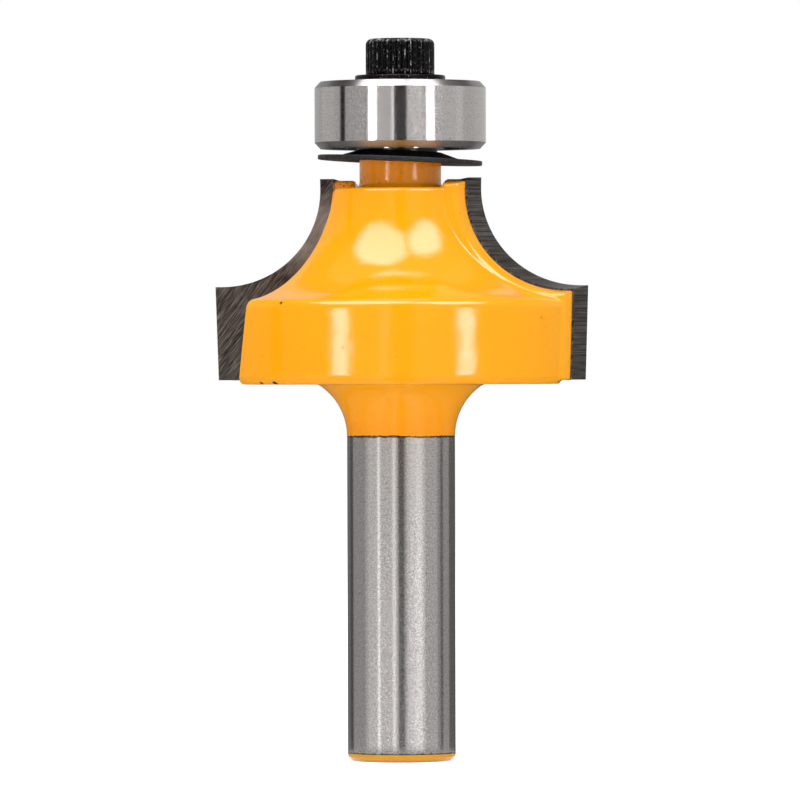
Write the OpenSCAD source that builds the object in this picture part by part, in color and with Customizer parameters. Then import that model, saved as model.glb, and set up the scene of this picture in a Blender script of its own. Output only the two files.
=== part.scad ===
// Rounding-over router bit with two carbide tips, guided by a ball bearing above the cutting head
// The axis is Z, the free end of the shank is at Z = 0, and the gullet walls that hold the tips run along X
// Lengths are in millimetres and angles in degrees

/* [Shank and neck] */
// Diameter of the ground shank
shank_d = 8; // [7:0.1:9]
// Length of the ground shank from its free end to the neck fillet
shank_len = 23.9; // [18:0.1:40]
// Width of the rounded corner at the free end of the shank
shank_end_round = 0.6; // [0.2:0.1:1]
// Radius of the fillet between the shank and the cutting head
neck_fillet_r = 4.5; // [4.1:0.1:6]
// Height of the neck fillet
neck_h = 4; // [3:0.1:4]

/* [Cutting head] */
// Radius of the quarter round that the bit cuts
cove_r = 7.5; // [6:0.1:8]
// Width of the short step that the edge cuts beside the quarter round
cove_step = 0.5; // [0.3:0.1:0.8]
// Height of the straight cutting edge under the quarter round
straight_h = 6.95; // [5:0.05:10]
// Height of the straight cutting edge above the quarter round
lead_h = 0.5; // [0.3:0.05:0.7]
// How far the steel head stays inside the cutting edges
head_inset = 0.8; // [0.6:0.05:1.2]
// How far the steel head reaches below the tips
head_below = 0.3; // [0.1:0.05:0.6]
// How far the top of the steel head lies below the top of the tips
head_top_drop = 0.75; // [0.4:0.05:1]
// How far the centre of the hollow flank lies below the top of the tips
flank_drop = 0.3; // [0.1:0.05:0.4]
// Radius of the rounded shoulder between the hollow flank and the band
band_round = 0.6; // [0.3:0.1:0.9]
// Width of the chamfer along the lower edge of the band
band_chamfer = 0.4; // [0.2:0.05:0.6]
// Radius of the rounded rim at the top of the head
head_rim_r = 0.35; // [0.2:0.05:0.5]

/* [Gullets] */
// Distance of the gullet wall that holds a tip from the axis, at the top of the tips
rake_offset = 1.4; // [1:0.1:1.8]
// Lean of that wall, which gives the edge its shearing cut
shear_angle = 5.8; // [3:0.1:8]
// Angle between the two walls of a gullet
gullet_angle = 55.7; // [48:0.1:60]
// Distance of the front wall of a gullet from the axis, at the top of the tips
gullet_wall_offset = 1.85; // [1.5:0.05:2.2]
// Distance of the gullet floor from the axis, at the top of the tips
gullet_floor_r = 3.6; // [3.5:0.05:4]
// How far the gullet floor moves outward along X for each millimetre down
gullet_run_out = 0.17; // [0.1:0.01:0.2]
// Radius of the corner between the floor and the wall that holds a tip
gullet_back_r = 0.6; // [0.4:0.1:0.8]
// Radius of the corner between the floor and the front wall
gullet_front_r = 1.6; // [1:0.1:2]

/* [Carbide tips] */
// Thickness of a tip
tip_t = 1.7; // [1.4:0.1:2]
// Distance of the inner edge of a tip from the axis
tip_inner_x = 5.18; // [5:0.02:5.4]
// How far the cutting face of a tip stands proud of the gullet wall
tip_proud = 0.1; // [0.05:0.05:0.2]
// Relief angle of the tip behind its straight edge
side_relief = 26; // [24:0.5:28]
// Relief angle of the tip behind its shoulder
shoulder_relief = 8.5; // [6:0.5:10]
// Film of braze between a tip and its pocket
braze_gap = 0.04; // [0.02:0.01:0.06]
// Size of the ground-off lower inner corner of a tip
tip_corner = 1.5; // [1:0.1:2]
// Number of straight stretches that follow the quarter round
edge_steps = 24; // [16:1:32]

/* [Backing of the tips] */
// Thickness of the raised steel land behind a tip
land_t = 1; // [0.8:0.1:1.2]
// How far the raised land stays inside the flank of the tip
land_inset = 0.16; // [0.12:0.01:0.25]
// Distance of the inner end of the raised land from the axis
land_inner_x = 3.6; // [3.6:0.02:4]
// How far the front of the raised land lies behind the gullet wall
land_setback = 0.02; // [0.02:0.01:0.1]
// How far the raised land ends below the top of the tip
land_top_drop = 0.06; // [0.02:0.02:0.2]

/* [Stem and stud] */
// Diameter of the stem between the head and the chip shield
stem_d = 6.06; // [5.9:0.02:6.2]
// Height of the stem above the top of the tips
stem_h = 1.52; // [1.4:0.02:2]
// Radius of the fillet at the foot of the stem
stem_fillet_r = 0.45; // [0.3:0.05:0.5]
// Diameter of the low step that carries the inner ring of the bearing
step_d = 5.5; // [5.3:0.02:5.6]
// Chamfer at the top of the stem and of the stud
stem_edge = 0.15; // [0.1:0.01:0.2]
// Radial clearance between the stud and the bore of the bearing
stud_clearance = 0.012; // [0.01:0.002:0.02]
// How far the stud ends below the top face of the bearing
stud_drop = 0.3; // [0.2:0.05:0.5]
// Depth of the tapped hole in the stud
tapped_depth = 8.2; // [8.2:0.1:9]
// Point angle of the drilled end of that hole
drill_angle = 118; // [90:1:140]

/* [Chip shield] */
// Diameter of the dished chip shield
chip_shield_d = 12.2; // [11:0.1:12.5]
// Thickness of the sheet that the chip shield is pressed from
chip_shield_t = 0.34; // [0.3:0.02:0.4]
// Height of the dish from the rim to the hub
chip_shield_rise = 0.52; // [0.4:0.02:0.6]
// Diameter at the foot of the raised cone
chip_cone_d = 9; // [8.8:0.1:9.4]
// How much wider the foot of the cone is on its upper side
chip_cone_bend = 0.1; // [0.05:0.05:0.2]
// Diameter of the flat hub
chip_hub_d = 6; // [5.9:0.05:6.2]
// Radial clearance between the chip shield and the step
chip_shield_clearance = 0.15; // [0.1:0.01:0.16]
// Tilt at which the loose chip shield lies
chip_shield_tilt = 2.4; // [0:0.1:2.6]
// Direction of the axis that the chip shield tilts about
chip_shield_turn = 96.8; // [0:0.1:180]
// Least gap left above and below the tilted hub
chip_shield_play = 0.03; // [0.02:0.01:0.06]

/* [Guide bearing] */
// Bore of the bearing
bearing_bore = 4.763; // [4.7:0.001:4.8]
// Outside diameter of the bearing
bearing_od = 12.7; // [12.7:0.01:12.8]
// Width of the bearing
bearing_w = 4.978; // [4.9:0.001:5.2]
// Number of balls
ball_count = 7; // [6:1:7]
// Diameter of a ball
ball_d = 2.381; // [2.3:0.001:2.4]
// Diameter of the circle that the balls run on
pitch_d = 8.7; // [8.65:0.01:8.75]
// Running clearance between a ball and its groove
ball_clearance = 0.04; // [0.02:0.01:0.05]
// Rounding of the outer corners of the outer ring
outer_round = 0.4; // [0.2:0.05:0.5]
// Rounding of the corners of the inner bore
inner_round = 0.15; // [0.1:0.05:0.2]
// Radial distance from the ball circle to the shoulder of the outer ring
outer_land = 0.75; // [0.7:0.01:0.8]
// Radial distance from the ball circle to the shoulder of the inner ring
inner_land = 0.8; // [0.75:0.01:0.85]
// Thickness of a bearing shield
seal_t = 0.2; // [0.15:0.01:0.22]
// Depth of the bearing shields below the faces of the bearing
seal_depth = 0.54; // [0.5:0.01:0.6]
// Radial gap between a bearing shield and the inner ring
seal_gap = 0.1; // [0.08:0.01:0.15]
// Width of the flat rim of a bearing shield
seal_rim_w = 0.5; // [0.4:0.05:0.7]
// Height of the step pressed into a bearing shield
seal_step = 0.12; // [0.08:0.01:0.15]
// Gap left beside a bearing shield at its seats
seal_play = 0.02; // [0.01:0.01:0.04]
// Radius of the recess in the outer ring that a bearing shield sits in
recess_r = 5.55; // [5.5:0.01:5.6]
// Depth of the step in the inner ring under a bearing shield
inner_step = 0.3; // [0.2:0.01:0.35]
// Diameter of the snap ring wire
wire_d = 0.3; // [0.26:0.01:0.32]
// Depth of the groove for the snap ring
wire_groove = 0.12; // [0.1:0.01:0.15]
// Gap left beside the snap ring in its groove
wire_play = 0.02; // [0.01:0.01:0.04]
// Opening of the snap ring
wire_gap_angle = 24; // [16:1:40]

/* [Ball cage] */
// Radial width of the cage
cage_w = 1; // [0.9:0.01:1.05]
// Thickness of the cage strip
cage_t = 0.22; // [0.18:0.01:0.25]
// Clearance between a ball and its pocket
pocket_clearance = 0.06; // [0.04:0.01:0.07]
// Diameter of the rivets
rivet_d = 0.42; // [0.38:0.01:0.45]
// Clearance between a rivet and its hole across the diameter
rivet_hole_play = 0.02; // [0.01:0.01:0.04]
// Diameter of the rivet heads
rivet_head_d = 0.66; // [0.6:0.01:0.68]
// Height of the rivet heads
rivet_head_h = 0.14; // [0.1:0.01:0.16]

/* [Washer and screw] */
// Diameter of the washer under the screw head
washer_d = 6.7; // [6.5:0.05:7]
// Thickness of the washer
washer_t = 0.48; // [0.4:0.02:0.6]
// Chamfer round both faces of the washer
washer_edge = 0.08; // [0.04:0.01:0.12]
// Thread diameter of the screw
screw_d = 3; // [2.9:0.01:3.1]
// Radial clearance between the screw and the washer
washer_clearance = 0.15; // [0.1:0.01:0.2]
// Radial clearance between the screw thread and the tapped hole
thread_clearance = 0.02; // [0.01:0.01:0.04]
// Length of the screw under its head
screw_len = 8; // [6:0.5:8]
// Chamfer at the end of the screw
screw_point = 0.4; // [0.2:0.05:0.6]
// Diameter of the screw head
screw_head_d = 5.1; // [5:0.05:5.5]
// Height of the screw head
screw_head_h = 2.7; // [2.5:0.05:3]
// Radius of the rounded top edge of the screw head
screw_head_round = 0.45; // [0.3:0.05:0.6]
// Height of the smooth rim at the foot of the screw head
screw_rim_h = 0.3; // [0.2:0.05:0.4]
// Number of knurling grooves round the screw head
knurl_count = 36; // [24:1:40]
// Depth of a knurling groove
knurl_depth = 0.13; // [0.08:0.01:0.16]
// Width across the flats of the hexagon socket
socket_af = 2.5; // [2.3:0.1:2.6]
// Depth of the hexagon socket
socket_depth = 1.5; // [1.2:0.1:1.6]
// Depth of the drilled cone under the socket
socket_cone_h = 0.48; // [0.3:0.02:0.6]

/* [Hidden] */
$fn = 96;
// How far a cut runs on past a face
through = 1;
// Number of straight stretches in a rounding
corner_steps = 6;
// How far a rounding is led on into a hollow that is cut later, in stretches
lead_on = 1.5;

// Heights along the axis
head_z = shank_len + neck_h;
tip_bottom_z = head_z + head_below;
shoulder_z = tip_bottom_z + straight_h;
cove_z = shoulder_z + cove_r;
tip_top_z = cove_z + lead_h;
head_top_z = tip_top_z - head_top_drop;
flank_z = tip_top_z - flank_drop;
stem_top_z = tip_top_z + stem_h;
hub_swing = sin(chip_shield_tilt) * chip_hub_d / 2;
chip_space = chip_shield_t + 2 * (hub_swing + chip_shield_play);
bearing_z = stem_top_z + chip_space;
bearing_top_z = bearing_z + bearing_w;
bearing_mid_z = bearing_z + bearing_w / 2;
stud_top_z = bearing_top_z - stud_drop;
washer_z = bearing_top_z;
screw_head_z = washer_z + washer_t;

// Radii of the cutting circle and the head
shank_r = shank_d / 2;
guide_r = bearing_od / 2;
cove_x = guide_r + cove_r;
cut_r = cove_x + cove_step;
band_r = cut_r - head_inset;
stem_r = stem_d / 2;
pitch_r = pitch_d / 2;
ball_r = ball_d / 2;
groove_r = ball_r + ball_clearance;
outer_land_r = pitch_r + outer_land;
inner_land_r = pitch_r - inner_land;
inner_step_r = inner_land_r - inner_step;
flank_r = cut_r - guide_r + head_inset;
neck_r = shank_r + neck_fillet_r - sqrt(pow(neck_fillet_r, 2) - pow(neck_h, 2));
stud_r = bearing_bore / 2 - stud_clearance;
seal_z = bearing_w / 2 - seal_depth;
pocket_r = ball_r + pocket_clearance;

// Unit vector, and the two directions that make a frame with it
function unit(v) = v / norm(v);
function side_of(d) = unit(cross([0, 0, 1], d));
function up_of(d) = cross(d, side_of(d));

// Face of the gullet wall at a height, and points on it
function rake_y(z) = rake_offset + (tip_top_z - z) * tan(shear_angle);
function edge_point(r, z) = [-sqrt(r * r - pow(rake_y(z), 2)), rake_y(z), z];
function rake_point(x, z) = [-x, rake_y(z), z];

// Points of the cutting edge from the bottom to the top, for a profile drawn in by inset
function edge_points(inset, bottom, top) = concat(
    [for (z = [bottom, shoulder_z - inset]) edge_point(cut_r - inset, z)],
    [for (i = [0:edge_steps])
        let (a = 90 * i / edge_steps, r = cove_r + inset)
        edge_point(cove_x - r * sin(a), cove_z - r * cos(a))],
    [edge_point(guide_r - inset, top)]
);

// Points of an arc round c
function arc(c, r, from, to) =
    [for (i = [0:corner_steps])
        let (a = from + (to - from) * i / corner_steps)
        c + r * [cos(a), sin(a)]];

// The same points with the last stretch led on past its end, and the same points the other way round
function led_on(p) =
    let (n = len(p) - 1)
    concat([for (i = [0:n - 1]) p[i]], [p[n] + lead_on * (p[n] - p[n - 1])]);
function reversed(p) = [for (i = [len(p) - 1:-1:0]) p[i]];

// Direction in which the flanks of a tip run back from its edge
flank_dir = unit([tan(side_relief), 1, -tan(shoulder_relief)]);

// Normals of the front wall and the floor of the gullet on the -X side, and its milling path
wall_n = [-sin(gullet_angle), cos(gullet_angle)];
floor_n = [-cos(gullet_angle / 2), -sin(gullet_angle / 2)];
mill_dir = unit([gullet_run_out, -tan(shear_angle), 1]);

// Crossing point of the lines p * n = c and p * m = d
function crossing(n, c, m, d) =
    [c * m[1] - d * n[1], n[0] * d - m[0] * c] / (n[0] * m[1] - n[1] * m[0]);

// Place of a point in the frame of a direction
function seen_along(d, p) = [p * side_of(d), p * up_of(d)];

// Points that round off the corner at v with radius r, on the way from a to b
function rounded(v, a, b, r) =
    let (
        half = acos(unit(a - v) * unit(b - v)) / 2,
        centre = v + unit(unit(a - v) + unit(b - v)) * r / sin(half),
        start = v + unit(a - v) * r / tan(half) - centre,
        finish = v + unit(b - v) * r / tan(half) - centre,
        turn = asin((start[0] * finish[1] - start[1] * finish[0]) / (r * r))
    )
    [for (i = [0:corner_steps])
        let (t = turn * i / corner_steps)
        centre + [start[0] * cos(t) - start[1] * sin(t), start[0] * sin(t) + start[1] * cos(t)]];

module at_both_sides() {
    for (turn = [0, 180])
        rotate([0, 0, turn]) children();
}

// Extrudes an outline both ways along a direction, with its points given in that direction's frame
module extrude_along(d, reach) {
    s = side_of(d);
    u = up_of(d);
    multmatrix([
        [s[0], u[0], d[0], 0],
        [s[1], u[1], d[1], 0],
        [s[2], u[2], d[2], 0],
        [0, 0, 0, 1]
    ])
        linear_extrude(2 * reach, center = true) children();
}

// Slab above the bottom of the tips, from front to back behind the gullet wall's plane
module rake_slab(front, back) {
    span = 4 * cut_r;
    intersection() {
        translate([0, rake_offset, tip_top_z])
            rotate([shear_angle, 0, 0])
                translate([-span / 2, front, -span])
                    cube([span, back - front, 2 * span]);
        translate([-span / 2, -span / 2, tip_bottom_z])
            cube(span);
    }
}

// Prism whose flanks run back from the cutting edge, for a tip and for what backs it
module flank_prism(inset, inner_x, top, corner) {
    bottom = tip_bottom_z - through;
    points = concat(
        edge_points(inset, bottom, top),
        [rake_point(inner_x, top)],
        [rake_point(inner_x, tip_bottom_z + corner)],
        [rake_point(inner_x + corner + through, bottom)]
    );
    extrude_along(flank_dir, 2 * cut_r)
        polygon([for (p = points) seen_along(flank_dir, p)]);
}

// Outline of the shank, its rounded end and the foot of the neck fillet
shank_points = concat(
    [[0, 0]],
    arc([shank_r - shank_end_round, shank_end_round], shank_end_round, -90, 0),
    [[shank_r, shank_len]],
    [[neck_r, head_z]]
);

// Outline of the head: chamfer, band, rounded shoulder and rounded rim, both led on into the hollow flank
shoulder = [
    band_r - band_round,
    flank_z - sqrt(pow(flank_r + band_round, 2) - pow(cut_r - band_r + band_round, 2))
];
rim = [
    cut_r - sqrt(pow(flank_r + head_rim_r, 2) - pow(flank_z - head_top_z + head_rim_r, 2)),
    head_top_z - head_rim_r
];
function flank_angle(c) = atan2(flank_z - c[1], cut_r - c[0]);
head_points = concat(
    [[band_r - band_chamfer, head_z]],
    [[band_r, head_z + band_chamfer]],
    led_on(arc(shoulder, band_round, 0, flank_angle(shoulder))),
    reversed(led_on(arc(rim, head_rim_r, 90, flank_angle(rim))))
);

// Outline of the stem, the step under the bearing and the stud
stem_points = [
    [stem_r + stem_fillet_r, head_top_z],
    [stem_r, head_top_z + stem_fillet_r],
    [stem_r, stem_top_z - stem_edge],
    [stem_r - stem_edge, stem_top_z],
    [step_d / 2, stem_top_z],
    [step_d / 2, bearing_z],
    [stud_r, bearing_z],
    [stud_r, stud_top_z - stem_edge],
    [stud_r - stem_edge, stud_top_z],
    [0, stud_top_z]
];

// The steel body before its gullets and its hollow flank are cut
module turned_blank() {
    rotate_extrude()
        difference() {
            polygon(concat(shank_points, head_points, stem_points));
            translate([shank_r + neck_fillet_r, shank_len])
                circle(neck_fillet_r);
            translate([stem_r + stem_fillet_r, head_top_z + stem_fillet_r])
                circle(stem_fillet_r);
        }
}

// Ring that hollows out the flank between the shoulder and the rim
module flank_ring() {
    rotate_extrude()
        translate([cut_r, flank_z]) circle(flank_r);
}

// Raised land behind a tip, kept inside the circle that its edge cuts and clear of the stem
module tip_backing() {
    intersection() {
        flank_prism(land_inset, land_inner_x, tip_top_z - land_top_drop, 0);
        rake_slab(tip_proud + land_setback, tip_t + land_t);
        translate([-land_inner_x - cut_r, 0, 0])
            cube([cut_r, cut_r, tip_top_z]);
        rotate_extrude()
            difference() {
                square([cut_r - land_inset, tip_top_z]);
                translate([cove_x, cove_z])
                    circle(cove_r + land_inset);
                translate([cove_x, shoulder_z - land_inset])
                    square(cut_r);
                translate([guide_r - land_inset, cove_z])
                    square(cut_r);
            }
    }
}

// Slanted gullet with a flat floor and two rounded corners, open towards -X and -Y
module gullet() {
    far = 3 * cut_r;
    back = crossing([0, 1], rake_offset + tip_proud, floor_n, gullet_floor_r);
    front = crossing(wall_n, gullet_wall_offset, floor_n, gullet_floor_r);
    ends = [
        for (p = [back - far * [1, 0], back, front, front - far * [cos(gullet_angle), sin(gullet_angle)]])
            seen_along(mill_dir, [p[0], p[1], tip_top_z])
    ];
    extrude_along(mill_dir, tip_top_z + cut_r)
        polygon(concat(
            [ends[0]],
            rounded(ends[1], ends[0], ends[2], gullet_back_r),
            rounded(ends[2], ends[1], ends[3], gullet_front_r),
            [ends[3]]
        ));
}

module tapped_hole() {
    hole_r = screw_d / 2 + thread_clearance;
    cone_h = hole_r / tan(drill_angle / 2);
    translate([0, 0, stud_top_z - tapped_depth]) {
        cylinder(h = tapped_depth + through, r = hole_r);
        translate([0, 0, -cone_h])
            cylinder(h = cone_h, r1 = 0, r2 = hole_r);
    }
}

module cutter_body() {
    color("orange")
        difference() {
            union() {
                difference() {
                    difference() {
                        turned_blank();
                        at_both_sides() gullet();
                    }
                    flank_ring();
                }
                at_both_sides() tip_backing();
            }
            at_both_sides() tip_blank(braze_gap);
            tapped_hole();
        }
}

// A tip, or its pocket with room for the braze
module tip_blank(gap) {
    intersection() {
        flank_prism(0, tip_inner_x - gap, tip_top_z, tip_corner);
        rake_slab(0, tip_t + gap);
    }
}

module carbide_tip(turn) {
    color("dimgray")
        rotate([0, 0, turn]) tip_blank(0);
}

// Dished chip shield, which lies loose on the step at a small tilt
module chip_shield() {
    rim_z = -chip_shield_rise;
    hole_r = step_d / 2 + chip_shield_clearance;
    cone_out = [chip_cone_d / 2, rim_z];
    hub_out = [chip_hub_d / 2, 0];
    color("#202020")
        translate([0, 0, stem_top_z + chip_space / 2])
            rotate([0, 0, chip_shield_turn])
                rotate([chip_shield_tilt, 0, 0])
                    translate([0, 0, -chip_shield_t / 2])
                        rotate_extrude()
                            polygon([
                                [hole_r, 0],
                                hub_out,
                                cone_out,
                                [chip_shield_d / 2, rim_z],
                                [chip_shield_d / 2, rim_z + chip_shield_t],
                                cone_out + [chip_cone_bend, chip_shield_t],
                                hub_out + [0, chip_shield_t],
                                [hole_r, chip_shield_t]
                            ]);
}

// Runs its children at the upper side of the bearing, or mirrored at the lower side
module at_side(side) {
    translate([0, 0, bearing_mid_z])
        mirror([0, 0, side == "lower" ? 1 : 0]) children();
}

// Whole outline of a ring from the upper half of it, which runs round from the inside to the outside
function both_halves(half) =
    concat(half, [for (i = [len(half) - 1:-1:0]) [half[i][0], -half[i][1]]]);

module outer_ring() {
    half_w = bearing_w / 2;
    recess_h = half_w - seal_z + through;
    groove_h = wire_d + wire_play;
    color("silver")
        translate([0, 0, bearing_mid_z])
            rotate_extrude()
                difference() {
                    polygon(both_halves(concat(
                        [[outer_land_r, half_w]],
                        arc([guide_r - outer_round, half_w - outer_round], outer_round, 90, 0)
                    )));
                    for (side = [-1, 1]) {
                        translate([0, side * (seal_z + recess_h / 2)])
                            square([2 * recess_r, recess_h], center = true);
                        translate([0, side * (seal_z + seal_t + groove_h / 2)])
                            square([2 * (recess_r + wire_groove), groove_h], center = true);
                    }
                    translate([pitch_r, 0]) circle(groove_r);
                }
}

module inner_ring() {
    half_w = bearing_w / 2;
    bore_r = bearing_bore / 2;
    color("silver")
        translate([0, 0, bearing_mid_z])
            rotate_extrude()
                difference() {
                    polygon(both_halves(concat(
                        arc([bore_r + inner_round, half_w - inner_round], inner_round, 180, 90),
                        [[inner_step_r, half_w], [inner_step_r, seal_z - seal_play]],
                        [[inner_land_r, seal_z - seal_play]]
                    )));
                    translate([pitch_r, 0]) circle(groove_r);
                }
}

module place_balls(first, last) {
    for (i = [first:last])
        rotate([0, 0, 360 * (i - 1) / ball_count])
            translate([pitch_r, 0, 0]) children();
}

module ball(i) {
    color("gainsboro")
        translate([0, 0, bearing_mid_z])
            place_balls(i, i) sphere(ball_r);
}

// Strip of the cage with a half pocket over each ball
module cage_half(side) {
    inner_r = pitch_r - cage_w / 2;
    outer_r = pitch_r + cage_w / 2;
    cup_r = pocket_r + cage_t;
    color("goldenrod")
        at_side(side)
            difference() {
                intersection() {
                    union() {
                        cylinder(h = cage_t, r = outer_r + through);
                        place_balls(1, ball_count) sphere(cup_r);
                    }
                    difference() {
                        cylinder(h = cup_r + through, r = outer_r);
                        translate([0, 0, -through])
                            cylinder(h = cup_r + 3 * through, r = inner_r);
                    }
                }
                place_balls(1, ball_count) sphere(pocket_r);
                rotate([0, 0, 180 / ball_count])
                    place_balls(1, ball_count)
                        translate([0, 0, -through])
                            cylinder(h = 3 * through, d = rivet_d + rivet_hole_play);
            }
}

module cage_rivets() {
    color("silver")
        translate([0, 0, bearing_mid_z])
            rotate([0, 0, 180 / ball_count])
                place_balls(1, ball_count) {
                    cylinder(h = 2 * cage_t, d = rivet_d, center = true);
                    for (side = [0, 1])
                        mirror([0, 0, side])
                            translate([0, 0, cage_t])
                                cylinder(h = rivet_head_h, d1 = rivet_head_d, d2 = rivet_d);
                }
}

// Pressed shield of the bearing: a flat rim, a step up and a flat inner part
module bearing_shield(side) {
    rim_in = recess_r - seal_rim_w;
    color("silver")
        at_side(side)
            rotate_extrude()
                polygon([
                    [recess_r - seal_play, seal_z],
                    [recess_r - seal_play, seal_z + seal_t],
                    [rim_in, seal_z + seal_t],
                    [rim_in - seal_step, seal_z + seal_t + seal_step],
                    [inner_step_r + seal_gap, seal_z + seal_t + seal_step],
                    [inner_step_r + seal_gap, seal_z + seal_step],
                    [rim_in - seal_step, seal_z + seal_step],
                    [rim_in, seal_z]
                ]);
}

// Open wire ring that holds a bearing shield in its groove
module snap_ring(side) {
    ring_r = recess_r + wire_groove - wire_play - wire_d / 2;
    color("gray")
        at_side(side)
            translate([0, 0, seal_z + seal_t + wire_d / 2 + wire_play / 2])
                rotate([0, 0, wire_gap_angle / 2])
                    rotate_extrude(angle = 360 - wire_gap_angle)
                        translate([ring_r, 0]) circle(d = wire_d);
}

module screw_washer() {
    hole_r = screw_d / 2 + washer_clearance;
    color("#181818")
        translate([0, 0, washer_z])
            rotate_extrude()
                polygon([
                    [hole_r, 0],
                    [washer_d / 2 - washer_edge, 0],
                    [washer_d / 2, washer_edge],
                    [washer_d / 2, washer_t - washer_edge],
                    [washer_d / 2 - washer_edge, washer_t],
                    [hole_r, washer_t]
                ]);
}

// Outline of the knurling: a groove and a ridge at each step round the head
function knurl_points(r) =
    [for (i = [0:2 * knurl_count - 1])
        let (a = 180 * i / knurl_count, k = r - (i % 2) * knurl_depth)
        k * [cos(a), sin(a)]];

module screw_head() {
    head_r = screw_head_d / 2;
    intersection() {
        linear_extrude(screw_head_h) polygon(knurl_points(head_r));
        rotate_extrude()
            polygon(concat(
                [[0, 0], [head_r - knurl_depth, 0], [head_r - knurl_depth, screw_rim_h]],
                [[head_r + through, screw_rim_h]],
                [[head_r + through, screw_head_h - screw_head_round]],
                [[head_r, screw_head_h - screw_head_round]],
                arc(
                    [head_r - screw_head_round, screw_head_h - screw_head_round],
                    screw_head_round, 0, 90
                ),
                [[0, screw_head_h]]
            ));
    }
}

module cap_screw() {
    color("#101010")
        translate([0, 0, screw_head_z])
            difference() {
                union() {
                    screw_head();
                    translate([0, 0, -screw_len])
                        rotate_extrude()
                            polygon([
                                [0, 0],
                                [screw_d / 2 - screw_point, 0],
                                [screw_d / 2, screw_point],
                                [screw_d / 2, screw_len + screw_rim_h / 2],
                                [0, screw_len + screw_rim_h / 2]
                            ]);
                }
                translate([0, 0, screw_head_h - socket_depth])
                    cylinder(h = socket_depth + through, r = socket_af / sqrt(3), $fn = 6);
                translate([0, 0, screw_head_h - socket_depth - socket_cone_h])
                    cylinder(h = socket_cone_h, r1 = 0, r2 = socket_af / 2);
            }
}

cutter_body();
carbide_tip(0);  // carbide_tip_1
carbide_tip(180);  // carbide_tip_2
chip_shield();
outer_ring();  // bearing_outer_ring
inner_ring();  // bearing_inner_ring
for (i = [1:ball_count])
    ball(i);
cage_half("lower");  // cage_lower
cage_half("upper");  // cage_upper
cage_rivets();
bearing_shield("lower");  // bearing_shield_lower
bearing_shield("upper");  // bearing_shield_upper
snap_ring("lower");  // snap_ring_lower
snap_ring("upper");  // snap_ring_upper
screw_washer();
cap_screw();
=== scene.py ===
"""Looks of the router bit: enamel, ground steel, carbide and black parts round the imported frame."""
import math

import bpy
import numpy as np
from mathutils import Euler, Matrix, Vector


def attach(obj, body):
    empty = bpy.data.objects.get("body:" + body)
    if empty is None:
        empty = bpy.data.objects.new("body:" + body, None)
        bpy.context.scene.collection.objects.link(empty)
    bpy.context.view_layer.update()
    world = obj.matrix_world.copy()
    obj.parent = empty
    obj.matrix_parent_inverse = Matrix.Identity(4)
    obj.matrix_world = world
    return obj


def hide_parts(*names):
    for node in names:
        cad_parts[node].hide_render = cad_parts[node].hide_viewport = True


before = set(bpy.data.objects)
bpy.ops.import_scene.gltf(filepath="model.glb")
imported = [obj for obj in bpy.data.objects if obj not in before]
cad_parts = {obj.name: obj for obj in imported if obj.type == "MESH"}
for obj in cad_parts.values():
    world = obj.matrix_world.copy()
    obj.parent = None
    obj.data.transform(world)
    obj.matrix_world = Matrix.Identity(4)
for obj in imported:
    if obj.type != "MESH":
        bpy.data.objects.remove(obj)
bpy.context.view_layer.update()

MM = 0.001

# Sizes of the part's source, in millimetres
SHANK_R = 4.0
SHANK_LEN = 23.9
NECK_FILLET_R = 4.5
HEAD_Z = 27.9
HEAD_TOP_Z = 42.4
BAND_R = 13.55
FLANK_R = 8.8
FLANK_Z = 42.85
CUT_R = 14.35
COVE_R = 7.5
COVE_X = 13.85
COVE_Z = 42.65
GUIDE_R = 6.35
TIP_BOTTOM_Z = 28.2
TIP_TOP_Z = 43.15
TIP_INNER_X = 5.18
TIP_CORNER = 1.5
TIP_PROUD = 0.1
TIP_T = 1.7
RAKE_OFFSET = 1.4
SHEAR = math.tan(math.radians(5.8))
LAND_T = 1.0
LAND_INSET = 0.16
LAND_INNER_X = 3.6
LAND_TOP_DROP = 0.06
STEM_R = 3.03
STEM_TOP_Z = 44.67
STEP_R = 2.75
STUD_R = 2.3695
STUD_TOP_Z = 49.999
HOLE_R = 1.52
HOLE_DEPTH = 8.2
BEARING_Z = 45.3213
BEARING_W = 4.978
WASHER_R = 3.35
WASHER_HOLE_R = 1.65
WASHER_T = 0.48
SCREW_HEAD_R = 2.55
SCREW_HEAD_H = 2.7
SCREW_LEN = 8.0
SOCKET_AF = 2.5
SOCKET_DEPTH = 1.5
KNURLS = 36
KNURL_DEPTH = 0.13
CHIP_SHIELD_TILT = 2.4
CHIP_SHIELD_TURN = 96.8
BALL_D = 2.381
BORE_R = 4.763 / 2
PITCH_R = 4.35
GROOVE_R = BALL_D / 2 + 0.04
OUTER_LAND_R = 5.1
INNER_LAND_R = 3.55
RECESS_R = 5.55
SEAL_INSET = 0.54
SEAL_T = 0.2

BEARING_TOP_Z = BEARING_Z + BEARING_W
BEARING_MID_Z = BEARING_Z + BEARING_W / 2
SCREW_HEAD_Z = BEARING_TOP_Z + WASHER_T


# Meshes

def put(name, data):
    """A new object in the scene."""
    made = bpy.data.objects.new(name, data)
    bpy.context.scene.collection.objects.link(made)
    return made


def link(name, vertices, faces, body, material, replaces=()):
    """A smooth mesh, given in millimetres, that rides on a body and stands for CAD nodes."""
    mesh = bpy.data.meshes.new(name)
    mesh.from_pydata((np.asarray(vertices, float) * MM).tolist(), [], [list(map(int, f)) for f in faces])
    mesh.validate()
    mesh.shade_smooth()
    mesh.materials.append(material)
    piece = put(name, mesh)
    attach(piece, body)
    if replaces:
        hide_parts(*replaces)
    return piece


def sharpen(piece, degrees):
    """Keeps edges that bend by more than this sharp."""
    split = piece.modifiers.new("sharp_edges", "EDGE_SPLIT")
    split.split_angle = math.radians(degrees)


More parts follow.
